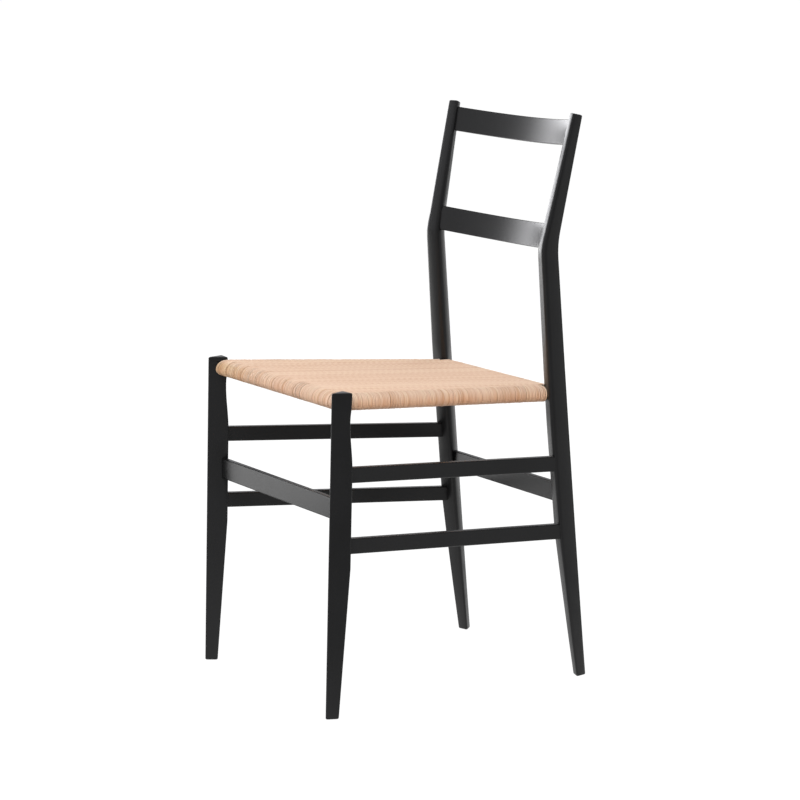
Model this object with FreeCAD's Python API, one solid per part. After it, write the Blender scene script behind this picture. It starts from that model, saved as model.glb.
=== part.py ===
# A light dining chair in black lacquered ash with a woven cane seat.
# Millimetres, +Z up. The origin is on the floor under the middle of the chair, and the
# chair faces -Y, so the sitter's left is +X.
import FreeCAD, Part
import math
import os

Vector = FreeCAD.Vector

# Driving sizes of the whole chair
overall_height = 830.0
overall_depth = 450.0
seat_fall = 22.5              # that the seat falls from its front rail to its back rail
slat_lean = 13.3              # degrees that the back slats lean back
glue_clearance = 0.1          # round each tenon in its mortise
cane_clearance = 0.3          # between the cane and the wood beside it
edge_rounding = 1.9           # at the cut ends of the legs
arris_rounding = 2.0          # along the sharp edges of the legs
end_steps = 2                 # flats in the rounding of a cut end
arris_flats = 4               # flats in the rounding of a leg's edges

# Front legs: three-sided, with the narrow edge to the front
front_leg_height = 461.0
front_edge_x = 191.3          # the front edge at the floor, before its rounding
front_lean_out = 0.9          # that the front edge moves outwards from floor to top
front_lean_back = 11.2        # and backwards
front_outer_turn = 19.0       # degrees between the outer face and straight back
front_inner_turn = 30.5       # degrees between the inner face and straight back
front_foot_side = 22.3
front_knee_side = 34.7
front_waist_side = 30.4
front_block_side = 32.3
knee_height = 214.0           # where the taper of the foot ends, on all four legs
front_swell_drop = 111.0      # from the top down to where the leg starts to narrow to its waist
front_waist_drop = 41.0
front_block_drop = 13.0       # down to where the block that takes the seat rails is full size
waist_steps = 8
block_steps = 4

# Back legs: equal-sided, bent once above the seat
back_edge_x = 165.9           # the rear edge at the floor, before its rounding
back_turn = 15.0              # degrees that the rear edge is turned inwards
back_half_angle = 30.0        # degrees, half the angle between two faces
back_post_height = 188.6      # of the leaning part, from the bend to the top
back_bend_in = 4.8            # that the rear edge moves inwards from floor to bend
back_bend_forward = 52.1      # and forwards
back_top_out = 9.2            # that the rear edge moves outwards from bend to top
back_top_rear = 34.8          # and backwards
back_bow = 1.2                # that the rear edge curves forwards between floor and bend
back_foot_side = 20.9
back_knee_side = 35.2
back_belly_side = 38.0
back_belly_height = 400.0
back_bend_side = 34.8
back_post_side = 31.3
back_top_side = 21.9
front_bend_drop = 6.0         # that the front edges bend below the rear edge
bend_softness = 20.0          # half the height over which the rear edge turns at the bend
bend_steps = 6
bow_steps = 5
shin_steps = 4
back_top_fall = 4.0           # that the cut top falls from its front edge to its rear edge
back_front_rounding = 6.0     # of the two front edges, over the middle of the leg
back_round_height = 350.0     # where that rounding is reached
back_shin_rounding = 3.0
back_shin_height = 150.0
back_top_rounding = 3.0

# Front and back stretchers: flat slats between the legs
cross_stretcher_thickness = 9.0
cross_stretcher_rounding = 1.6
front_stretcher_height = 30.4
front_stretcher_drop = 167.6  # of its middle, below the top of the front legs
front_stretcher_setback = 20.8  # of its front face, behind the front edge of the leg
back_stretcher_height = 28.4
back_stretcher_drop = 185.1
back_stretcher_setback = 11.9   # of its rear face, before the rear edge of the leg

# Side stretchers: two on each side, falling to the back with the seat
side_stretcher_height = 22.0
side_stretcher_thickness = 12.5
side_stretcher_rounding = 2.0
side_stretcher_front_inset = 3.0  # inwards from the front leg's edge
side_stretcher_back_inset = 1.8   # inwards from the back leg's edge
upper_side_stretcher_drop = 116.2
lower_side_stretcher_drop = 216.5

# Back slats: bent to a hollow towards the sitter
slat_height = 36.4
slat_thickness = 9.5
slat_chamfer = 1.2
slat_bow = 30.0               # of a slat's middle behind its ends
slat_tenon_length = 8.0
upper_slat_drop = 28.3        # of its middle, below the top of the posts
lower_slat_rise = 11.7        # of its middle, above the bend of the posts
slat_inset = 7.7              # of its middle, behind the inner edge of the post

# Seat rails: bare ash inside the cane
rail_height = 19.0
rail_shoulder_rounding = 12.5  # of the outer upper corner, that the cane rolls over
rail_lower_rounding = 6.2     # of the outer lower corner
rail_inner_rounding = 1.2
front_rail_depth = 15.0
front_rail_drop = 15.0        # of its axis, below the top of the front legs
front_rail_setback = 12.8     # of its front face, behind the front edge of the leg
back_rail_depth = 16.0
back_rail_setback = 19.4      # of its axis, before the rear edge of the back leg
side_rail_width = 14.0
side_rail_front_inset = 9.2   # inwards from the front leg's edge
side_rail_back_inset = 16.4   # inwards from the back leg's edge
rail_tenon_diameter = 6.0
rail_tenon_stagger = 4.5      # above and below the rail's axis, so that two tenons pass

# Tenons of stretchers and slats
tenon_length = 10.0
tenon_shoulder = 1.5          # that a tenon is thinner than its piece, on each face
tenon_haunch = 4.0            # that a tenon is lower than its piece, at top and bottom
blank_reach = 14.0            # that a blank runs into a leg before it is cut to the leg's face

# Woven cane seat
cane_thickness = 2.0


def spread(first, last, share):
    return first + (last - first) * share


def eased(first, last, share):
    return spread(first, last, (1 - math.cos(math.pi * share)) / 2)


def read_table(table, place):
    """The size at a place, in a table of places and sizes with straight runs between them."""
    for (low, low_size), (high, high_size) in zip(table, table[1:]):
        if place <= high:
            return spread(low_size, high_size, (place - low) / (high - low))
    return table[-1][1]


def turned(degrees):
    """A level direction, turned from straight back towards +X."""
    angle = math.radians(degrees)
    return Vector(math.sin(angle), math.cos(angle), 0)


def lost_to_rounding(radius, corner_angle):
    """How far a rounded corner stays behind its sharp point."""
    return radius * (1 / math.sin(math.radians(corner_angle) / 2) - 1)


# Outlines with rounded corners
def corner_directions(corners, index):
    corner = corners[index]
    back = (corners[index - 1] - corner).normalize()
    forward = (corners[(index + 1) % len(corners)] - corner).normalize()
    return back, forward


def inset(corners, distance):
    """The outline moved inwards by a distance, or outwards by a negative one."""
    moved = []
    for index, corner in enumerate(corners):
        back, forward = corner_directions(corners, index)
        middle = (back + forward).normalize()
        moved.append(corner + middle * (distance / math.sin(back.getAngle(forward) / 2)))
    return moved


def corner_arc(corners, index, radius):
    """The start, the middle and the finish of the arc that rounds a corner."""
    corner = corners[index]
    back, forward = corner_directions(corners, index)
    half_angle = back.getAngle(forward) / 2
    run = radius / math.tan(half_angle)
    to_centre = radius / math.sin(half_angle)
    middle = (back + forward).normalize()
    return corner + back * run, corner + middle * (to_centre - radius), corner + forward * run


def rounded_outline(corners, radii):
    arcs = [corner_arc(corners, index, radius) for index, radius in enumerate(radii)]
    edges = []
    for index, (start, nearest, finish) in enumerate(arcs):
        edges.append(Part.Arc(start, nearest, finish).toShape())
        edges.append(Part.makeLine(finish, arcs[(index + 1) % len(arcs)][0]))
    return Part.Wire(edges)


def planed_outline(corners, radii):
    """An outline whose corners are rounded in a few flats, as a plane leaves them."""
    points = []
    for index, radius in enumerate(radii):
        start, nearest, finish = corner_arc(corners, index, radius)
        arc = Part.Arc(start, nearest, finish)
        points.extend(arc.discretize(Number=arris_flats + 1))
    return Part.makePolygon(points + points[:1])


def chamfered_outline(corners, size):
    points = []
    for index, corner in enumerate(corners):
        back, forward = corner_directions(corners, index)
        points.extend([corner + back * size, corner + forward * size])
    return Part.makePolygon(points + points[:1])


def cut_end(corners, radii, outward):
    """Rings for a sawn end with a small rounding, from its side to its face."""
    rings = []
    for step in range(end_steps + 1):
        angle = math.pi / 2 * step / end_steps
        inwards = edge_rounding * (1 - math.cos(angle))
        below = edge_rounding * (1 - math.sin(angle))
        ring = [corner - outward * below for corner in inset(corners, inwards)]
        rings.append((ring, [radius - inwards / 2 for radius in radii]))
    return rings


def leg_from(rings):
    wires = [planed_outline(corners, radii) for corners, radii in rings]
    return Part.makeLoft(wires, True, True)


def grown_rings(rings, margin):
    return [(inset(corners, -margin), [radius + margin for radius in radii]) for corners, radii in rings]


# Front leg
front_apex_angle = front_outer_turn + front_inner_turn
front_edge_y = -overall_depth / 2 - lost_to_rounding(arris_rounding, front_apex_angle)


def front_edge(height):
    share = height / front_leg_height
    return Vector(front_edge_x + front_lean_out * share, front_edge_y + front_lean_back * share, height)


def front_corners(height, side):
    edge = front_edge(height)
    outer = edge + turned(front_outer_turn) * side
    inner = edge + turned(-front_inner_turn) * side
    return [edge, outer, inner]


def front_leg_rings():
    radii = [arris_rounding] * 3
    swell_height = front_leg_height - front_swell_drop
    waist_height = front_leg_height - front_waist_drop
    block_height = front_leg_height - front_block_drop
    sizes = [(knee_height, front_knee_side), (swell_height, front_knee_side)]
    for step in range(1, waist_steps + 1):
        share = step / waist_steps
        height = spread(swell_height, waist_height, share)
        sizes.append((height, eased(front_knee_side, front_waist_side, share)))
    for step in range(1, block_steps + 1):
        share = step / block_steps
        height = spread(waist_height, block_height, share)
        sizes.append((height, eased(front_waist_side, front_block_side, share)))
    foot = cut_end(front_corners(0, front_foot_side), radii, Vector(0, 0, -1))
    top = cut_end(front_corners(front_leg_height, front_block_side), radii, Vector(0, 0, 1))
    middle = [(front_corners(height, side), radii) for height, side in sizes]
    return foot[::-1] + middle + top


# Back leg
back_edge_loss = lost_to_rounding(arris_rounding, 2 * back_half_angle)
back_edge_y = overall_depth / 2 + back_edge_loss * math.cos(math.radians(back_turn))
back_bend_height = overall_height - back_post_height
front_bend_height = back_bend_height - front_bend_drop
back_sides = [
    (0, back_foot_side),
    (knee_height, back_knee_side),
    (back_belly_height, back_belly_side),
    (front_bend_height, back_bend_side),
    (back_bend_height + bend_softness, back_post_side),
    (overall_height, back_top_side),
]
back_front_radii = [
    (0, arris_rounding),
    (back_shin_height, back_shin_rounding),
    (back_round_height, back_front_rounding),
    (front_bend_height, back_front_rounding),
    (overall_height, back_top_rounding),
]


def back_edge(height):
    """The rear edge: nearly straight up to the bend, a short curve, then straight to the top."""
    lower = height / back_bend_height
    upper = (height - back_bend_height) / back_post_height
    from_bend = height - back_bend_height
    if from_bend <= -bend_softness:
        bow = back_bow * 4 * lower * (1 - lower)
        x = back_edge_x - back_bend_in * lower
        y = back_edge_y - back_bend_forward * lower - bow
    elif from_bend >= bend_softness:
        x = back_edge_x - back_bend_in + back_top_out * upper
        y = back_edge_y - back_bend_forward + back_top_rear * upper
    else:
        below = back_edge(back_bend_height - bend_softness)
        above = back_edge(back_bend_height + bend_softness)
        share = (from_bend + bend_softness) / (2 * bend_softness)
        corner_x = back_edge_x - back_bend_in
        corner_y = back_edge_y - back_bend_forward
        x = spread(spread(below.x, corner_x, share), spread(corner_x, above.x, share), share)
        y = spread(spread(below.y, corner_y, share), spread(corner_y, above.y, share), share)
    return Vector(x, y, height)


def back_corners(height):
    side = read_table(back_sides, height)
    rear = back_edge(height)
    outer = rear - turned(back_turn - back_half_angle) * side
    inner = rear - turned(back_turn + back_half_angle) * side
    return [rear, inner, outer]


def back_radii(height):
    front = read_table(back_front_radii, height)
    return [arris_rounding, front, front]


def back_leg_rings():
    heights = [knee_height * step / shin_steps for step in range(1, shin_steps + 1)]
    for step in range(1, bow_steps):
        heights.append(spread(knee_height, back_bend_height - bend_softness, step / bow_steps))
    for step in range(bend_steps + 1):
        heights.append(back_bend_height + spread(-bend_softness, bend_softness, step / bend_steps))
    middle = [(back_corners(height), back_radii(height)) for height in heights]
    foot = cut_end(back_corners(0), back_radii(0), Vector(0, 0, -1))
    rear_low, inner, outer = back_corners(overall_height)
    rear = back_corners(overall_height - back_top_fall)[0]
    upward = (inner - rear).cross(outer - rear).normalize()
    if upward.z < 0:
        upward = upward * -1
    top = cut_end([rear, inner, outer], back_radii(overall_height), upward)
    return foot[::-1] + middle + top


front_rings = front_leg_rings()
back_rings = back_leg_rings()
mirror_plane = (Vector(0, 0, 0), Vector(1, 0, 0))


def both_sides(shape):
    return [shape, shape.mirror(*mirror_plane)]


front_legs = both_sides(leg_from(front_rings))
back_legs = both_sides(leg_from(back_rings))


# Bars between two legs
def bar_corners(width, height):
    """The corners of an upright section across X, from the top left on."""
    return [
        Vector(0, width / 2, height / 2),
        Vector(0, -width / 2, height / 2),
        Vector(0, -width / 2, -height / 2),
        Vector(0, width / 2, -height / 2),
    ]


def run_out(outline, start, finish):
    """A straight solid of one section from start to finish, with its height upright."""
    run = finish - start
    solid = Part.Face(outline).extrude(Vector(run.Length, 0, 0))
    rotation = FreeCAD.Rotation(run, Vector(0, 0, 0), Vector(0, 0, 1), "XZY")
    solid.Placement = FreeCAD.Placement(start, rotation)
    return solid


def bar(start, finish, width, height, radii):
    return run_out(rounded_outline(bar_corners(width, height), radii), start, finish)


def square_bar(start, finish, width, height):
    corners = bar_corners(width, height)
    return run_out(Part.makePolygon(corners + corners[:1]), start, finish)


def biggest(shape):
    return max(shape.Solids, key=lambda solid: solid.Volume)


def between(blank, legs):
    """The middle of a blank, cut to the faces of the legs that it runs into."""
    for leg in legs:
        blank = biggest(blank.cut(leg))
    return blank


def shoulders(start, finish, body):
    """Where the line from start to finish enters and leaves a body."""
    inside = Part.makeLine(start, finish).common(body)
    points = [vertex.Point for vertex in inside.Vertexes]
    points.sort(key=lambda point: (point - start).Length)
    return points[0], points[-1]


def joined_bar(start, finish, width, height, rounding, legs):
    """A bar with a stub tenon at each end, and the mortise tool for its legs."""
    body = between(bar(start, finish, width, height, [rounding] * 4), legs)
    first, last = shoulders(start, finish, body)
    along = (finish - start).normalize()
    tenon_start = first - along * tenon_length
    tenon_finish = last + along * tenon_length
    thick = width - 2 * tenon_shoulder
    tall = height - 2 * tenon_haunch
    tenon = square_bar(tenon_start, tenon_finish, thick, tall)
    room = 2 * glue_clearance
    mortise = square_bar(
        tenon_start - along * glue_clearance,
        tenon_finish + along * glue_clearance,
        thick + room,
        tall + room,
    )
    return body.fuse(tenon).removeSplitter(), mortise


front_mortises = []
back_mortises = []


def cross_stretcher(edge, setback, height, legs):
    """A stretcher across the chair, set back from the edges of two legs."""
    middle_y = edge.y + setback
    return joined_bar(
        Vector(-edge.x, middle_y, edge.z),
        Vector(edge.x, middle_y, edge.z),
        cross_stretcher_thickness,
        height,
        cross_stretcher_rounding,
        legs,
    )


# Front stretcher, between the inner faces of the front legs
front_stretcher, mortise = cross_stretcher(
    front_edge(front_leg_height - front_stretcher_drop),
    front_stretcher_setback + cross_stretcher_thickness / 2,
    front_stretcher_height,
    front_legs,
)
front_mortises.append(mortise)

# Back stretcher, between the inner rear faces of the back legs
back_stretcher, mortise = cross_stretcher(
    back_edge(front_leg_height - back_stretcher_drop),
    -back_stretcher_setback - cross_stretcher_thickness / 2,
    back_stretcher_height,
    back_legs,
)
back_mortises.append(mortise)

# Seat plane, which the side stretchers run along too
front_rail_z = front_leg_height - front_rail_drop
front_rail_edge = front_edge(front_rail_z)
back_rail_edge = back_edge(front_rail_z - seat_fall)
front_rail_y = front_rail_edge.y + front_rail_setback + front_rail_depth / 2
back_rail_y = back_rail_edge.y - back_rail_setback
seat_slope = seat_fall / (back_rail_y - front_rail_y)


# Side stretchers, from the rear face of the front leg to the front face of the back leg
def leg_middle(corners):
    return (corners[0] + corners[1] + corners[2]) * (1 / 3)


def side_stretcher(drop):
    front_z = front_leg_height - drop
    front_y = leg_middle(front_corners(front_z, front_knee_side)).y
    back_y = leg_middle(back_corners(front_z)).y
    fall = (back_y - front_y) * seat_slope
    start = Vector(front_edge(front_z).x - side_stretcher_front_inset, front_y, front_z)
    finish = Vector(back_edge(front_z - fall).x - side_stretcher_back_inset, back_y, front_z - fall)
    return joined_bar(
        start,
        finish,
        side_stretcher_thickness,
        side_stretcher_height,
        side_stretcher_rounding,
        [front_legs[0], back_legs[0]],
    )


upper_side_stretcher, upper_mortise = side_stretcher(upper_side_stretcher_drop)
lower_side_stretcher, lower_mortise = side_stretcher(lower_side_stretcher_drop)
for mortise in (upper_mortise, lower_mortise):
    front_mortises.extend(both_sides(mortise))
    back_mortises.extend(both_sides(mortise))


# Back slats, bent on a round former and let into the posts
lean_rotation = FreeCAD.Rotation(Vector(1, 0, 0), -slat_lean)


def bent_slat(half_width, extra, thickness, height, chamfer, end_middle):
    """A slat whose middle is hollowed back by its bow, longer by extra at each end."""
    radius = (half_width**2 + slat_bow**2) / (2 * slat_bow)
    half_angle = math.degrees(math.asin(half_width / radius) + extra / radius)
    corners = [corner + Vector(0, radius, 0) for corner in bar_corners(thickness, height)]
    face = Part.Face(chamfered_outline(corners, chamfer))
    face.rotate(Vector(0, 0, 0), Vector(0, 0, 1), -half_angle)
    slat = face.revolve(Vector(0, 0, 0), Vector(0, 0, 1), 2 * half_angle)
    slat.translate(Vector(0, slat_bow - radius, 0))
    slat.Placement = FreeCAD.Placement(end_middle, lean_rotation).multiply(slat.Placement)
    return slat


def back_slat(middle_z):
    rear, inner, outer = back_corners(middle_z)
    end_middle = Vector(0, inner.y + slat_inset, middle_z)
    entry_share = slat_inset / (rear.y - inner.y)
    half_width = spread(inner.x, rear.x, entry_share)
    blank = bent_slat(half_width, blank_reach, slat_thickness, slat_height, slat_chamfer, end_middle)
    thick = slat_thickness - 2 * tenon_shoulder
    tall = slat_height - 2 * tenon_haunch
    chamfer = slat_chamfer / 2
    tenon = bent_slat(half_width, slat_tenon_length, thick, tall, chamfer, end_middle)
    room = 2 * glue_clearance
    reach = slat_tenon_length + glue_clearance
    mortise = bent_slat(half_width, reach, thick + room, tall + room, chamfer, end_middle)
    return between(blank, back_legs).fuse(tenon).removeSplitter(), mortise


upper_back_slat, mortise = back_slat(overall_height - upper_slat_drop)
back_mortises.append(mortise)
lower_back_slat, mortise = back_slat(back_bend_height + lower_slat_rise)
back_mortises.append(mortise)


# Seat rails, in a level frame that is then tipped to the seat's slope
seat_place = FreeCAD.Placement(
    Vector(0, front_rail_y, front_rail_z),
    FreeCAD.Rotation(Vector(1, 0, 0), -math.degrees(math.atan(seat_slope))),
)
seat_run = math.hypot(back_rail_y - front_rail_y, seat_fall)
front_rail_half = front_rail_edge.x
back_rail_half = back_rail_edge.x
side_rail_start = Vector(front_rail_half - side_rail_front_inset, 0, 0)
side_rail_finish = Vector(back_rail_half - side_rail_back_inset, seat_run, 0)


def tipped(shape):
    shape.Placement = seat_place.multiply(shape.Placement)
    return shape


def rail_blank(start, finish, width, margin):
    """A rail with its outer face on the right of its run, grown by a margin all round."""
    radii = [rail_inner_rounding, rail_shoulder_rounding, rail_lower_rounding, rail_inner_rounding]
    grown_radii = [radius + margin for radius in radii]
    return tipped(bar(start, finish, width + 2 * margin, rail_height + 2 * margin, grown_radii))


def front_rail_blank(margin):
    start = Vector(-front_rail_half, 0, 0)
    finish = Vector(front_rail_half, 0, 0)
    return rail_blank(start, finish, front_rail_depth, margin)


def back_rail_blank(margin):
    start = Vector(back_rail_half, seat_run, 0)
    finish = Vector(-back_rail_half, seat_run, 0)
    return rail_blank(start, finish, back_rail_depth, margin)


def side_rail_blank(margin):
    return rail_blank(side_rail_start, side_rail_finish, side_rail_width, margin)


def round_tenons(start, finish, body, stagger):
    """Round stub tenons at both ends of a rail, and the drill for their holes."""
    lift = seat_place.Rotation.multVec(Vector(0, 0, stagger))
    first, last = shoulders(start + lift, finish + lift, body)
    along = (finish - start).normalize()
    length = (last - first).Length + 2 * tenon_length
    foot = first - along * tenon_length
    tenon = Part.makeCylinder(rail_tenon_diameter / 2, length, foot, along)
    drill = Part.makeCylinder(
        rail_tenon_diameter / 2 + glue_clearance,
        length + 2 * glue_clearance,
        foot - along * glue_clearance,
        along,
    )
    return body.fuse(tenon).removeSplitter(), drill


front_rail_body = between(front_rail_blank(0), front_legs)
front_rail_start = seat_place.multVec(Vector(-front_rail_half, 0, 0))
front_rail_finish = seat_place.multVec(Vector(front_rail_half, 0, 0))
seat_front_rail, drill = round_tenons(
    front_rail_start, front_rail_finish, front_rail_body, rail_tenon_stagger
)
front_mortises.append(drill)

back_rail_body = between(back_rail_blank(0), back_legs)
back_rail_start = seat_place.multVec(Vector(-back_rail_half, seat_run, 0))
back_rail_finish = seat_place.multVec(Vector(back_rail_half, seat_run, 0))
seat_back_rail, drill = round_tenons(
    back_rail_start, back_rail_finish, back_rail_body, rail_tenon_stagger
)
back_mortises.append(drill)

side_rail_body = between(side_rail_blank(0), [front_legs[0], back_legs[0]])
for neighbour in (front_rail_blank(glue_clearance), back_rail_blank(glue_clearance)):
    side_rail_body = biggest(side_rail_body.cut(neighbour))
seat_side_rail, drill = round_tenons(
    seat_place.multVec(side_rail_start),
    seat_place.multVec(side_rail_finish),
    side_rail_body,
    -rail_tenon_stagger,
)
front_mortises.extend(both_sides(drill))
back_mortises.extend(both_sides(drill))


# Woven cane: an upper and a lower sheet that wrap round all four rails
def sheet_block(thickness):
    """A level plate that reaches to where the rails start to round, tipped with the seat."""
    axes = [
        Vector(-side_rail_start.x, 0, 0),
        side_rail_start,
        side_rail_finish,
        Vector(-side_rail_finish.x, seat_run, 0),
    ]
    corners = inset(axes, rail_shoulder_rounding - side_rail_width / 2)
    plate = Part.Face(Part.makePolygon(corners + corners[:1])).extrude(Vector(0, 0, thickness))
    plate.translate(Vector(0, 0, -thickness / 2))
    return tipped(plate)


def all_rails(margin):
    return [front_rail_blank(margin), back_rail_blank(margin)] + both_sides(side_rail_blank(margin))


def woven_seat():
    outer_margin = cane_clearance + cane_thickness
    outer_height = rail_height + 2 * outer_margin
    outside = sheet_block(outer_height).multiFuse(all_rails(outer_margin))
    inside = sheet_block(outer_height - 2 * cane_thickness).multiFuse(all_rails(cane_clearance))
    seat = outside.cut(inside)
    for rings in (front_rings, back_rings):
        for leg in both_sides(leg_from(grown_rings(rings, cane_clearance))):
            seat = seat.cut(leg)
    return biggest(seat)


woven_cane_seat = woven_seat()

# Mortises
for mortise in front_mortises:
    front_legs = [biggest(leg.cut(mortise)) for leg in front_legs]
for mortise in back_mortises:
    back_legs = [biggest(leg.cut(mortise)) for leg in back_legs]

pieces = {
    "front_stretcher": front_stretcher,
    "back_stretcher": back_stretcher,
    "upper_back_slat": upper_back_slat,
    "lower_back_slat": lower_back_slat,
    "seat_front_rail": seat_front_rail,
    "seat_back_rail": seat_back_rail,
    "woven_cane_seat": woven_cane_seat,
}
pairs = {
    "front_leg": front_legs,
    "back_leg": back_legs,
    "upper_side_stretcher": both_sides(upper_side_stretcher),
    "lower_side_stretcher": both_sides(lower_side_stretcher),
    "seat_side_rail": both_sides(seat_side_rail),
}
for name, (left, right) in pairs.items():
    pieces[name + "_left"] = left
    pieces[name + "_right"] = right

os.makedirs("parts", exist_ok=True)
for name, shape in pieces.items():
    shape.exportStep("parts/" + name + ".step")
    box = shape.BoundBox
    print(
        name,
        len(shape.Solids),
        "valid" if shape.isValid() else "INVALID",
        "%.0f mm3" % shape.Volume,
        "%.1f by %.1f by %.1f mm" % (box.XLength, box.YLength, box.ZLength),
    )
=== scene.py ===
import bpy
import math
import random
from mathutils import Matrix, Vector


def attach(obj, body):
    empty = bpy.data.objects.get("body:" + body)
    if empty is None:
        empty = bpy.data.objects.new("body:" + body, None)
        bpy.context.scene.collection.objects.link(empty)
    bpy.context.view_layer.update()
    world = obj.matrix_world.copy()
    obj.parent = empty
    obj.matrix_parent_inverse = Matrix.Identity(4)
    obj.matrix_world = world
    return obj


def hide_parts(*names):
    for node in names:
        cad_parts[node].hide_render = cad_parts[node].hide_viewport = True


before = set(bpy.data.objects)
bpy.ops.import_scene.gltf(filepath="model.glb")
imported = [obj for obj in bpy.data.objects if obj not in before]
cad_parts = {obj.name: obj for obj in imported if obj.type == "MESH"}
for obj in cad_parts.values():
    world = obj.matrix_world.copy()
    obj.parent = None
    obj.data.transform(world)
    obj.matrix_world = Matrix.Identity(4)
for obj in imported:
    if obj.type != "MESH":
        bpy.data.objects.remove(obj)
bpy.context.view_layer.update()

# Camera: it stands where the photograph was taken, in front of the chair and at its left. It
# is higher than the seat and looks a little down through a long lens. The chair's left is +X
# and its front is -Y.
camera_place = (3.6607, -2.0946, 1.1153)
camera_azimuth = 60.176
camera_down_tilt = 9.542
camera_lens = 131.15
sensor_width = 36.0
camera_data = bpy.data.cameras.new("camera")
camera_data.lens = camera_lens
camera_data.sensor_width = sensor_width
camera = bpy.data.objects.new("camera", camera_data)
camera.location = camera_place
camera.rotation_euler = (math.radians(90 - camera_down_tilt), 0, math.radians(camera_azimuth))
bpy.context.scene.collection.objects.link(camera)
bpy.context.scene.camera = camera
bpy.context.scene.view_settings.view_transform = "Standard"


# Studio surroundings: plain white to the camera, and a soft even light on the chair. What the
# lacquer mirrors is a grey room with lighter and darker parts and a lit panel low down at the
# chair's right, which gives the back slats their sheen.
class Shade:
    """One socket of a node tree. Arithmetic on it adds the Math nodes."""

    def __init__(self, tree, socket):
        self.tree = tree
        self.socket = socket

    def node(self, kind, settings=None, output=0, **sockets):
        """Adds a node, sets it up, fills its sockets by name or i0, i1, and returns an output."""
        made = self.tree.nodes.new("ShaderNode" + kind)
        for name, setting in (settings or {}).items():
            if name == "stops":
                ramp = made.color_ramp.elements
                while len(ramp) < len(setting):
                    ramp.new(0.5)
                for (place, colour), stop in zip(setting, ramp):
                    stop.position = place
                    stop.color = (*colour, 1)
            else:
                setattr(made, name, setting)
        for name, value in sockets.items():
            key = int(name[1:]) if name[1:].isdigit() else name.replace("_", " ")
            self.fill(made.inputs[key], value)
        return Shade(self.tree, made.outputs[output])

    def fill(self, socket, value):
        if isinstance(value, Shade):
            self.tree.links.new(value.socket, socket)
        else:
            socket.default_value = value

    def output_named(self, name):
        """Another output of the same node."""
        return Shade(self.tree, self.socket.node.outputs[name])

    def maths(self, operation, first, second=0.0):
        return self.node("Math", {"operation": operation}, i0=first, i1=second)

    def __add__(self, other):
        return self.maths("ADD", self, other)

    def __sub__(self, other):
        return self.maths("SUBTRACT", self, other)

    def __mul__(self, other):
        return self.maths("MULTIPLY", self, other)

    def __radd__(self, other):
        return self.maths("ADD", other, self)

    def __rsub__(self, other):
        return self.maths("SUBTRACT", other, self)

    def __rmul__(self, other):
        return self.maths("MULTIPLY", other, self)

    def dot(self, vector):
        """How far this place or direction lies along a vector."""
        return self.node("VectorMath", {"operation": "DOT_PRODUCT"}, "Value", i0=self, i1=vector)

    def eased(self, low, high, low_result, high_result):
        """A smooth step between two results."""
        return self.node(
            "MapRange",
            {"interpolation_type": "SMOOTHSTEP"},
            i0=self,
            From_Min=low,
            From_Max=high,
            To_Min=low_result,
            To_Max=high_result,
        )

    def tinted(self, amount, colour):
        """This colour multiplied by another one, in full where the amount is 1."""
        settings = {"data_type": "RGBA", "blend_type": "MULTIPLY"}
        return self.node("Mix", settings, 2, i0=amount, i6=self, i7=(*colour, 1.0))


def finish_shader(shade, surface, kind="OutputMaterial"):
    """Ends a node tree with its surface."""
    output = shade.tree.nodes.new("ShaderNode" + kind)
    shade.tree.links.new(surface.socket, output.inputs["Surface"])


def bearing(degrees):
    """A level direction, turned anticlockwise from the chair's left side."""
    return Vector((math.cos(math.radians(degrees)), math.sin(math.radians(degrees)), 0))


camera_white = 1.03
even_light = 0.4
mirrored_grey = 0.34
lit_panel = 5.0
lit_corner = 0.26
# Parts of the room that look lighter or darker in the lacquer: the bearing of each one, the
# cosines of the angles at which it starts and is full, and its change in brightness.
uneven_parts = ((111, 0.85, 0.97, -0.05), (140, 0.88, 0.98, 0.18), (345, 0.8, 0.97, -0.16))


def ambience(direction):
    """How bright the room is in a direction, before its lit panel and corner are added."""
    level = mirrored_grey
    for degrees, starts, full, change in uneven_parts:
        level = direction.dot(bearing(degrees)).eased(starts, full, 0.0, change) + level
    return level


def beside(direction):
    """Falls off towards the back of the room, where the light at the chair's right ends."""
    return direction.dot(bearing(90)).eased(0.12, 0.4, 1.0, 0.1)


world = bpy.data.worlds.new("studio_surroundings")
bpy.context.scene.world = world
world.use_nodes = True
world.node_tree.nodes.clear()
shade = Shade(world.node_tree, None)
direction = shade.node("TexCoord", output="Generated")
low_down = direction.dot((0, 0, 1)).eased(0.1, 0.4, 1.0, 0.15)
panel = direction.dot(bearing(178)).eased(0.8, 1.0, 0.0, lit_panel) * low_down * beside(direction)
corner = direction.dot(bearing(236)).eased(0.6, 0.9, 0.0, lit_corner)
room = ambience(direction) + corner + panel
camera_ray = shade.node("LightPath", output="Is Camera Ray")
glossy_ray = camera_ray.output_named("Is Glossy Ray")
lighting = (1.0 - camera_ray - glossy_ray) * even_light
level = camera_white * camera_ray + glossy_ray * room + lighting
sky = shade.node("Background", Color=(0.975, 0.975, 1, 1), Strength=level)
finish_shader(shade, sky, "OutputWorld")


# Studio floor: plain white to the camera, with the chair's shadow on it, and a mid grey that
# passes the lamps' light on to the chair. To the lacquer it glows as grey as the room, with a
# painted glow that is paler under the chair and a painted strip of light at the chair's right
# below the panel.
def new_material(name):
    material = bpy.data.materials.new(name)
    material.use_nodes = True
    tree = material.node_tree
    tree.nodes.clear()
    return material, Shade(tree, None)


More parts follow.
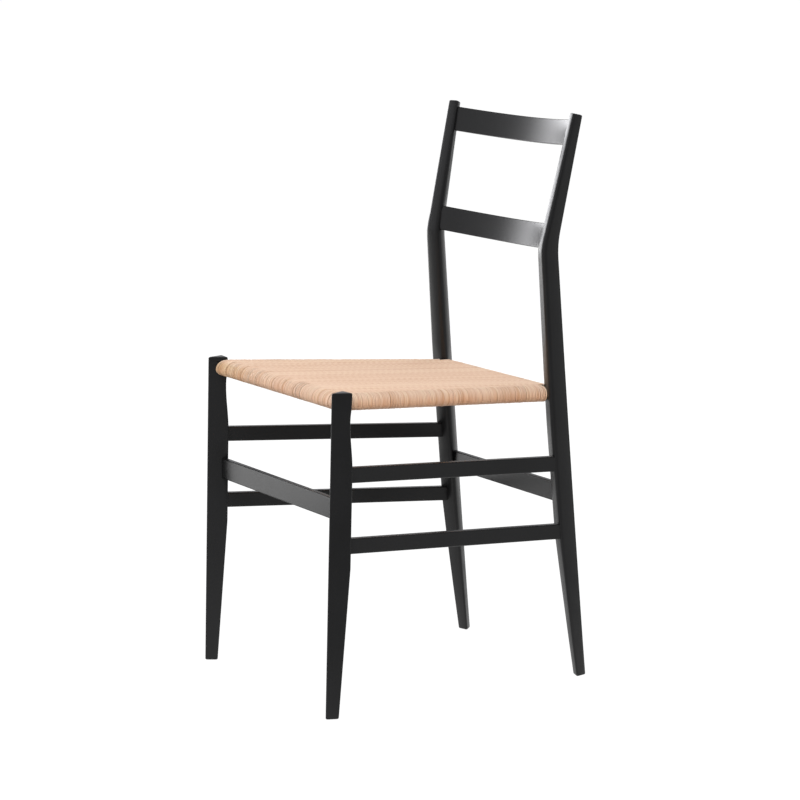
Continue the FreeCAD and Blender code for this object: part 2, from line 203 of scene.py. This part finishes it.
floor_size = 60
floor_white = 0.99
floor_paint = (0.6, 0.6, 0.6, 1)
shadow_paint = (0.08, 0.08, 0.08, 1)
bpy.ops.mesh.primitive_plane_add(size=floor_size, location=(0, 0, 0))
floor = bpy.context.object
floor.name = "studio_floor"
floor_material, shade = new_material("floor_paint")
place = shade.node("TexCoord", output="Object")
outward = shade.node("VectorMath", {"operation": "NORMALIZE"}, i0=place)
distance = shade.node("VectorMath", {"operation": "LENGTH"}, "Value", i0=place)
to_left = shade.node("SeparateXYZ", i0=place)
to_back = to_left.output_named("Y")
to_right = 0.0 - to_left
# Painted glow that only the lacquer mirrors: a strip of light at the chair's right, and more glow
# near the chair.
front_limit = (to_back + 0.5 * to_right).eased(-1.1, -0.6, 0.0, 1.0)
back_limit = (to_back - 1.2 * to_right).eased(-0.4, 0.6, 1.0, 0.0)
near_strip = to_right.eased(0.7, 1.1, 0.0, 1.0) * to_back.eased(-0.9, -0.1, 1.5, 0.7)
far_strip = to_right.eased(3.0, 8.0, 0.0, 3.6) * beside(outward)
painted_glow_strip = front_limit * back_limit * (near_strip + far_strip)
mirrored_floor_glow = ambience(outward) + distance.eased(0.3, 1.0, 0.2, 0.0) + painted_glow_strip
camera_ray = shade.node("LightPath", output="Is Camera Ray")
glossy_ray = camera_ray.output_named("Is Glossy Ray")
glow_level = camera_ray * floor_white + glossy_ray * mirrored_floor_glow
glow = shade.node("Emission", Color=(1, 1, 1, 1), Strength=glow_level)
paint = shade.node("BsdfDiffuse", Color=floor_paint)
shadowed = shade.node("BsdfDiffuse", Color=shadow_paint)
seen_floor = shade.node("AddShader", i0=glow, i1=shadowed)
either_ray = camera_ray.maths("MAXIMUM", camera_ray, glossy_ray)
finish_shader(shade, shade.node("MixShader", i0=either_ray, i1=paint, i2=seen_floor))
floor.data.materials.append(floor_material)


# Studio lamps: square soft boxes overhead, in front at the chair's left, and behind at its
# right. The lacquer doesn't mirror them.
def soft_lamp(name, place, target, width, power):
    lamp_data = bpy.data.lights.new(name, "AREA")
    lamp_data.shape = "SQUARE"
    lamp_data.size = width
    lamp_data.energy = power
    lamp = bpy.data.objects.new(name, lamp_data)
    lamp.location = place
    lamp.visible_glossy = False
    lamp.rotation_euler = (Vector(target) - Vector(place)).to_track_quat("-Z", "Y").to_euler()
    bpy.context.scene.collection.objects.link(lamp)


soft_lamp("overhead_lamp", place=(-0.2, 0.0, 2.6), target=(0, 0, 0.4), width=2.4, power=8)
soft_lamp("front_lamp", place=(2.1, -1.65, 2.8), target=(0, 0, 0.4), width=2.0, power=119)
soft_lamp("rear_lamp", place=(-2.2, 2.4, 1.3), target=(0, 0, 0.5), width=1.6, power=45)

# Front legs: ash posts with a narrow edge to the front and two broad flat faces, thick at the
# knee and thin at the waist below the seat, with their edges planed round. They are mortised
# for the rails and stretchers. Like the whole frame they have black satin lacquer.
grain_scale = (260.0, 260.0, 9.0)
deep_black = (0.0055, 0.0055, 0.0058)
thin_black = (0.0075, 0.0075, 0.008)
grain_height = 0.0002
black_lacquer, shade = new_material("black_lacquer")
place = shade.node("TexCoord", output="Object")
drawn_out = shade.node("Mapping", i0=place, Scale=grain_scale)
grain = shade.node("TexNoise", i0=drawn_out, Scale=1.0, Detail=4.0, Roughness=0.6)
cloud = shade.node("TexNoise", i0=place, Scale=14.0, Detail=3.0, Roughness=0.5)
lift = shade.node("Bump", Strength=0.05, Distance=grain_height, Height=grain)
tint = shade.node("ValToRGB", {"stops": [(0.3, deep_black), (0.7, thin_black)]}, i0=cloud)
paint = shade.node(
    "BsdfPrincipled",
    Base_Color=tint,
    Roughness=0.27 + 0.06 * cloud + 0.03 * grain,
    IOR=1.5,
    Normal=lift,
)
finish_shader(shade, paint)

merge_distance = 0.000002
sharp_angle = math.radians(40)


def lacquered(name, crowned=False):
    """Dresses a wooden piece in its own shape, with its planed edges shaded round."""
    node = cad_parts[name]
    piece = bpy.data.objects.new(name + "_finished", node.data.copy())
    bpy.context.scene.collection.objects.link(piece)
    bpy.ops.object.select_all(action="DESELECT")
    piece.select_set(True)
    bpy.context.view_layer.objects.active = piece
    bpy.ops.mesh.customdata_custom_splitnormals_clear()
    bpy.ops.object.mode_set(mode="EDIT")
    bpy.ops.mesh.select_all(action="SELECT")
    bpy.ops.mesh.remove_doubles(threshold=merge_distance)
    bpy.ops.object.mode_set(mode="OBJECT")
    if crowned:
        bpy.ops.object.shade_smooth_by_angle(angle=sharp_angle)
    else:
        bpy.ops.object.shade_smooth()
        even = piece.modifiers.new("even_faces", "WEIGHTED_NORMAL")
        even.weight = 100
        bpy.ops.object.modifier_apply(modifier=even.name)
    piece.data.materials.clear()
    piece.data.materials.append(black_lacquer)
    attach(piece, "root")
    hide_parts(name)


for side in ("left", "right"):
    lacquered("front_leg_" + side)

# Front stretcher: a flat ash slat on edge, low between the front legs. A stub tenon at each
# end is glued into the mortise in the leg.
lacquered("front_stretcher")

# Back legs: three-cornered ash posts that run on as back posts, bent once above the seat,
# thickest below it and tapered to the foot and to the top. Their faces bow from end to end,
# so they are shaded smooth as far as the corners.
for side in ("left", "right"):
    lacquered("back_leg_" + side, crowned=True)

# Back stretcher: a flat ash slat on edge, low between the back legs, tenoned and glued as the
# front one is.
lacquered("back_stretcher")

# Back slats: two ash slats, steamed and bent to a hollow for the sitter's back, tenoned and
# glued into the posts, one just above their bend and one just below their tops.
lacquered("upper_back_slat")
lacquered("lower_back_slat")

# Side stretchers: two ash bars on each side, which join the front legs to the back legs and
# fall to the back as the seat does. Their stub tenons are glued into the legs.
for side in ("left", "right"):
    lacquered("upper_side_stretcher_" + side)
    lacquered("lower_side_stretcher_" + side)

# Seat rails: four bare ash rails with a round tenon at each end, glued into the legs. The
# cane hides them.
pale_ash = (0.55, 0.38, 0.23)
dark_ash = (0.42, 0.28, 0.16)
bare_ash, shade = new_material("bare_ash")
place = shade.node("TexCoord", output="Object")
grain = shade.node("TexNoise", i0=place, Scale=60.0, Detail=4.0, Roughness=0.6)
tint = shade.node("ValToRGB", {"stops": [(0.3, dark_ash), (0.7, pale_ash)]}, i0=grain)
finish_shader(shade, shade.node("BsdfPrincipled", Base_Color=tint, Roughness=0.6))
for name in ("seat_front_rail", "seat_back_rail", "seat_side_rail_left", "seat_side_rail_right"):
    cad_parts[name].material_slots[0].material = bare_ash

# Woven seat: split cane about 2.5 mm wide. The long strands wrap the front and back rails and
# the cross strands wrap the side rails, so there is an upper and a lower sheet. Each sheet is
# a twill in which a long strand passes over three cross strands and under one.
strand_pitch = 0.0025
strand_width = 0.00245
wrap_width = 0.0026           # of a strand where it wraps a rail
strand_thickness = 0.0009
edge_depth = 0.0003           # of a strand's edges, below its middle
weave_depth = 0.0004          # that a strand rises or dips in its sheet
front_axis = Vector((0, -0.19664, 0.446))    # the middle of the front rail
back_axis = Vector((0, 0.17205, 0.4235))     # the middle of the back rail
seat_length = (back_axis - front_axis).length
along_seat = (back_axis - front_axis).normalized()
up_seat = Vector((1, 0, 0)).cross(along_seat)
half_height = 0.0118          # of the seat, from its middle plane
sheet_height = half_height - strand_thickness
upper_shoulder = 0.0148       # radius over which a wrap turns down
lower_shoulder = 0.0085       # radius over which it turns under
front_side_axis = 0.18297     # of a side rail's middle, out from the seat's middle
back_side_axis = 0.14633
beside_back_leg = back_side_axis - 0.0110    # long strands beyond it stop at the leg
first_cross = 0.0115          # of the first cross strand, behind the front rail's middle
cross_count = 137
long_count = 139
cross_places = [first_cross + strand_pitch * number for number in range(cross_count)]
long_places = [strand_pitch * (number - (long_count - 1) / 2) for number in range(long_count)]
most_in_bunch = 9             # strands that are pressed up together in a wrap
pressed_up = (0.0, 0.02, 0.04, 0.07, 0.1)    # shares of the pitch that they close up by
side_stray = 0.00005
height_stray = 0.00012
edge_drops = (-0.0002, -0.0001, 0.0, 0.0001, edge_depth)
random.seed(11)


def seat_point(x, v, w):
    """A place x to the chair's left, v back from the front rail's middle, w above the middle."""
    return front_axis + Vector((x, 0, 0)) + along_seat * v + up_seat * w


def side_axis(v):
    """How far out the middle of a side rail is, v back from the front rail."""
    return front_side_axis + (back_side_axis - front_side_axis) * v / seat_length


def share_between(value, low, high):
    """How far a value has come from low to high, from 0 to 1."""
    return min(1.0, max(0.0, (value - low) / (high - low)))


def twill(row, column):
    """True where the long strand passes under the cross strand."""
    return (row - column) % 4 == 0


def in_sheet(row, column, face, rises):
    """A strand's point where two cross, in the upper sheet, face 1, or the lower, face -1."""
    height = sheet_height + (weave_depth if rises else -weave_depth)
    place = seat_point(long_places[column], cross_places[row], face * height)
    return place, up_seat * face, strand_width, edge_depth


def arc(centre, height, radius, start, finish, steps):
    """Places round an arc: out, up, and the outward direction."""
    places = []
    for step in range(steps + 1):
        angle = math.radians(start + (finish - start) * step / steps)
        cosine, sine = math.cos(angle), math.sin(angle)
        places.append((centre + radius * cosine, height + radius * sine, cosine, sine))
    return places


def roll(reach):
    """Places over a rail's rounded shoulder and under it, from the upper to the lower sheet."""
    upper, lower = upper_shoulder, lower_shoulder
    middle = strand_thickness / 2
    over = arc(reach - upper, half_height - upper, upper - middle, 90, 0, 8)
    return over + arc(reach - lower, lower - half_height, lower - middle, 0, -90, 4)


def uneven(count):
    """How far each strand of a wrap strays: bunches of two to nine, more or less pressed up."""
    strays = []
    while len(strays) < count:
        bunch = random.randint(2, most_in_bunch)
        squeeze = random.choice(pressed_up) * min(1.2, 4 / bunch)
        for number in range(bunch):
            pressed = strand_pitch * squeeze * ((bunch - 1) / 2 - number)
            strays.append(pressed + random.gauss(0, side_stray))
    return strays[:count]


def loose_turn():
    """How proud of the rail one strand lies, and how far its edges drop below its middle."""
    return random.gauss(0, height_stray), random.choice(edge_drops)


# Long strands: beside the legs the wraps fan out, so that the last one meets the leg's face.
# A wrap moves outward between two places along the seat, and in full at the second. The ones
# beyond the back legs run from the front rail to the side rails.
front_reach = 0.0098          # of a wrap, beyond the front rail's middle
back_reach = 0.0103
front_wrap = {
    "places": [(-out, w, -out_part, w_part) for out, w, out_part, w_part in roll(front_reach)],
    "moves_from": 0.0075,
    "moves_to": -front_reach,
    "fan": 0.0100,
    "fan_from": 0.140,
    "fan_to": long_places[-1],
    "strays": uneven(long_count),
}
back_wrap = {
    "places": [(seat_length + out, *rest) for out, *rest in roll(back_reach)][::-1],
    "moves_from": 0.3622,
    "moves_to": 0.3797,
    "fan": 0.0160,
    "fan_from": 0.095,
    "fan_to": beside_back_leg,
    "strays": uneven(long_count),
}
side_inset = 0.0062           # of a strand's end, inside the side rail's middle


def long_in_sheet(column, rows, face):
    """A long strand's points in one sheet: it dips under one cross strand in four."""
    points = []
    for row in rows:
        dips = twill(row, column)
        if dips or twill(row - 1, column) or twill(row + 1, column):
            points.append(in_sheet(row, column, face, rises=not dips))
    return points


def long_round_rail(column, wrap, proud, drop):
    """A long strand's points round the front or the back rail."""
    x = long_places[column]
    outward = 1 if x > 0 else -1
    fanned = share_between(abs(x), wrap["fan_from"], wrap["fan_to"])
    widening = 2 * wrap["fan"] * fanned / (wrap["fan_to"] - wrap["fan_from"])
    points = []
    for v, w, v_part, w_part in wrap["places"]:
        share = share_between(v, wrap["moves_from"], wrap["moves_to"])
        stray = wrap["strays"][column] * min(1, 2 * share)
        place = seat_point(
            x + outward * wrap["fan"] * fanned**2 * share + stray,
            v + proud * v_part,
            w + proud * w_part,
        )
        normal = along_seat * v_part + up_seat * w_part
        points.append((place, normal, wrap_width * (1 + widening * share), drop))
    return points


long_strands = []
for column, x in enumerate(long_places):
    reach = seat_length
    stops = abs(x) > beside_back_leg
    if stops:
        side_run = (front_side_axis - side_inset - abs(x)) / (front_side_axis - back_side_axis)
        reach = side_run * seat_length
    rows = [row for row in range(cross_count) if cross_places[row] < reach]
    turn = loose_turn()
    path = long_in_sheet(column, rows[::-1], 1) + long_round_rail(column, front_wrap, *turn)
    path += long_in_sheet(column, rows, -1)
    if not stops:
        path += long_round_rail(column, back_wrap, *turn)
    long_strands.append((path, not stops))

# Cross strands: the first and the last ones spread along the side rails to the legs, and the
# wraps lean a little, now forward and now back.
side_reach = 0.0093           # of a wrap, beyond the side rail's middle
cross_inset = 0.0064          # of the last long strand crossed, inside that middle
side_moves_from = -0.0055
side_moves_to = 0.0050
to_back_leg = 0.0042          # that the last wrap moves back
to_back_leg_from = 0.320
to_back_leg_widening = 0.27
to_front_leg = 0.0008         # that the first wrap moves forward
to_front_leg_from = 0.030
lean_limit = 0.0012
lean_count = 12
side_places = roll(side_reach)
side_strays = {1: uneven(cross_count), -1: uneven(cross_count)}
leans = {
    side: [random.uniform(-lean_limit, lean_limit) for number in range(lean_count)]
    for side in (1, -1)
}


def cross_in_sheet(row, columns, face):
    """A cross strand's points in one sheet: it rises over one long strand in four."""
    points = []
    for column in columns:
        rises = twill(row, column)
        if rises or twill(row, column - 1) or twill(row, column + 1):
            points.append(in_sheet(row, column, face, rises))
    return points


def lean_at(side, v):
    """How far a wrap leans, eased from one lean to the next along the side rail."""
    position = v / seat_length * (lean_count - 1.01)
    first = int(position)
    here, after = leans[side][first], leans[side][first + 1]
    return here + (after - here) * (position - first)


def cross_round_rail(row, side, places, proud, drop):
    """A cross strand's points round the left side rail, side 1, or the right one, side -1."""
    v = cross_places[row]
    near_back = share_between(v, to_back_leg_from, cross_places[-1])
    near_front = share_between(v, to_front_leg_from, first_cross)
    wide = wrap_width * (1 + to_back_leg_widening * near_back)
    moved = to_back_leg * near_back**2 - to_front_leg * near_front**2 + side_strays[side][row]
    points = []
    for out, w, out_part, w_part in places:
        share = share_between(out, side_moves_from, side_moves_to)
        place = seat_point(
            side * (side_axis(v) + out + proud * out_part),
            v + (moved + lean_at(side, v) * w_part) * share,
            w + proud * w_part,
        )
        normal = Vector((side * out_part, 0, 0)) + up_seat * w_part
        points.append((place, normal, strand_width + (wide - strand_width) * share, drop))
    return points


cross_strands = []
for row, v in enumerate(cross_places):
    inner = side_axis(v) - cross_inset
    columns = [column for column in range(long_count) if abs(long_places[column]) < inner]
    turn = loose_turn()
    path = cross_in_sheet(row, columns, 1) + cross_round_rail(row, 1, side_places, *turn)
    path += cross_in_sheet(row, columns[::-1], -1)
    path += cross_round_rail(row, -1, side_places[::-1], *turn)
    cross_strands.append((path, True))


def cane_mesh(name, strands):
    """A mesh of strands, each a list of (middle, normal, width, drop) and whether it closes."""
    vertices = []
    faces = []
    marks = []
    for points, closed in strands:
        strand_mark = random.random()
        count = len(points)
        base = len(vertices)
        travelled = 0.0
        for index, (middle, normal, width, drop) in enumerate(points):
            before = points[index - 1][0] if closed or index else middle
            after = points[(index + 1) % count][0] if closed or index + 1 < count else middle
            across = (after - before).cross(normal).normalized() * (width / 2)
            if index:
                travelled += (middle - points[index - 1][0]).length
            edge = middle - normal * drop
            crown = middle + normal * (strand_thickness / 2)
            for corner, share in ((edge + across, 0.0), (crown, 0.5), (edge - across, 1.0)):
                vertices.append(tuple(corner))
                marks.extend((strand_mark, travelled, share))
        for index in range(count if closed else count - 1):
            here = base + 3 * index
            there = base + 3 * ((index + 1) % count)
            for corner in range(3):
                beside_it = (corner + 1) % 3
                faces.append((here + corner, here + beside_it, there + beside_it, there + corner))
        if not closed:
            faces.append((base + 2, base + 1, base))
            end = base + 3 * (count - 1)
            faces.append((end, end + 1, end + 2))
    mesh = bpy.data.meshes.new(name)
    mesh.from_pydata(vertices, [], faces)
    mesh.update()
    attribute = mesh.attributes.new("strand", "FLOAT_VECTOR", "POINT")
    attribute.data.foreach_set("vector", marks)
    piece = bpy.data.objects.new(name, mesh)
    bpy.context.scene.collection.objects.link(piece)
    bpy.ops.object.select_all(action="DESELECT")
    piece.select_set(True)
    bpy.context.view_layer.objects.active = piece
    bpy.ops.object.shade_smooth()
    return piece


long_cane = cane_mesh("long_cane_strands", long_strands)
cross_cane = cane_mesh("cross_cane_strands", cross_strands)

# Cane finish: bare, with a faint sheen. Each strand has its own tone, with fibre and clouds
# along it. Painted shade makes the rolled edges darker and warmer, with patches in it, and the
# colour is more like straw where they are at the chair's right. Some of the grooves between
# strands have painted brown shade.
cane_tones = [
    (0.1, (0.62, 0.38, 0.23)),
    (0.35, (0.72, 0.495, 0.355)),
    (0.6, (0.77, 0.56, 0.425)),
    (0.9, (0.80, 0.61, 0.45)),
]
# Tint of the painted shade on the rolled edges, then of the patches, the straw and the painted
# shade in grooves.
roll_shade_tint = (0.96, 0.79, 0.66)
patch_tint = (0.98, 0.91, 0.86)
straw_tint = (0.89, 0.88, 0.76)
groove_shade_tint = (0.66, 0.42, 0.29)
cane, shade = new_material("natural_cane_strands")
mark = shade.node("Attribute", {"attribute_name": "strand"}, "Vector")
tone = shade.node("SeparateXYZ", i0=mark)
along = tone.output_named("Y")
across = tone.output_named("Z")
fibre_place = shade.node("CombineXYZ", i0=tone * 193.0, i1=along * 30.0, i2=across * 3.0)
fibre = shade.node("TexNoise", i0=fibre_place, Scale=1.0, Detail=3.0, Roughness=0.6)
cloud_place = shade.node("CombineXYZ", i0=tone * 57.0, i1=along * 9.0, i2=0.0)
cloud = shade.node("TexNoise", i0=cloud_place, Scale=1.0, Detail=2.0, Roughness=0.5)
mixed_tone = 0.62 * tone + 0.25 * fibre + 0.65 * cloud - 0.21
tint = shade.node("ValToRGB", {"stops": cane_tones}, i0=mixed_tone)
lift = shade.node("Bump", Strength=0.2, Distance=0.0002, Height=fibre)
place = shade.node("TexCoord", output="Object")
to_left = shade.node("SeparateXYZ", i0=place)
above_middle = place.dot(up_seat) - front_axis.dot(up_seat)
# Painted shade: darker and warmer down the rolled edges, less at the very bottom and at the
# front.
painted_roll_shade = above_middle.eased(-0.007, 0.0112, 1.0, 0.0)
painted_roll_shade = painted_roll_shade * above_middle.eased(-0.0118, -0.006, 0.7, 1.0)
painted_roll_shade = painted_roll_shade * to_left.output_named("Y").eased(-0.2, -0.185, 0.6, 1.0)
patch = shade.node("TexNoise", i0=place, Scale=24.0, Detail=1.0).eased(0.45, 0.65, 0.0, 1.0)
straw = above_middle.eased(0.005, 0.0115, 1.0, 0.0) * to_left.eased(-0.17, -0.02, 1.0, 0.0)
# Painted shade in some grooves between strands: brown at the strands' edges.
strand_edge = across.maths("PINGPONG", across, 0.5).eased(0.0, 0.15, 1.0, 0.0)
painted_groove_shade = strand_edge * tone.maths("FRACT", tone * 7.0).eased(0.4, 1.0, 0.3, 1.0)
tint = tint.tinted(painted_roll_shade, roll_shade_tint).tinted(painted_roll_shade * patch, patch_tint)
tint = tint.tinted(straw, straw_tint).tinted(painted_groove_shade, groove_shade_tint)
roughness = 0.38 + 0.15 * fibre
finish_shader(
    shade,
    shade.node("BsdfPrincipled", Base_Color=tint, Roughness=roughness, Normal=lift),
)
for piece in (long_cane, cross_cane):
    piece.data.materials.append(cane)
    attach(piece, "root")
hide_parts("woven_cane_seat")
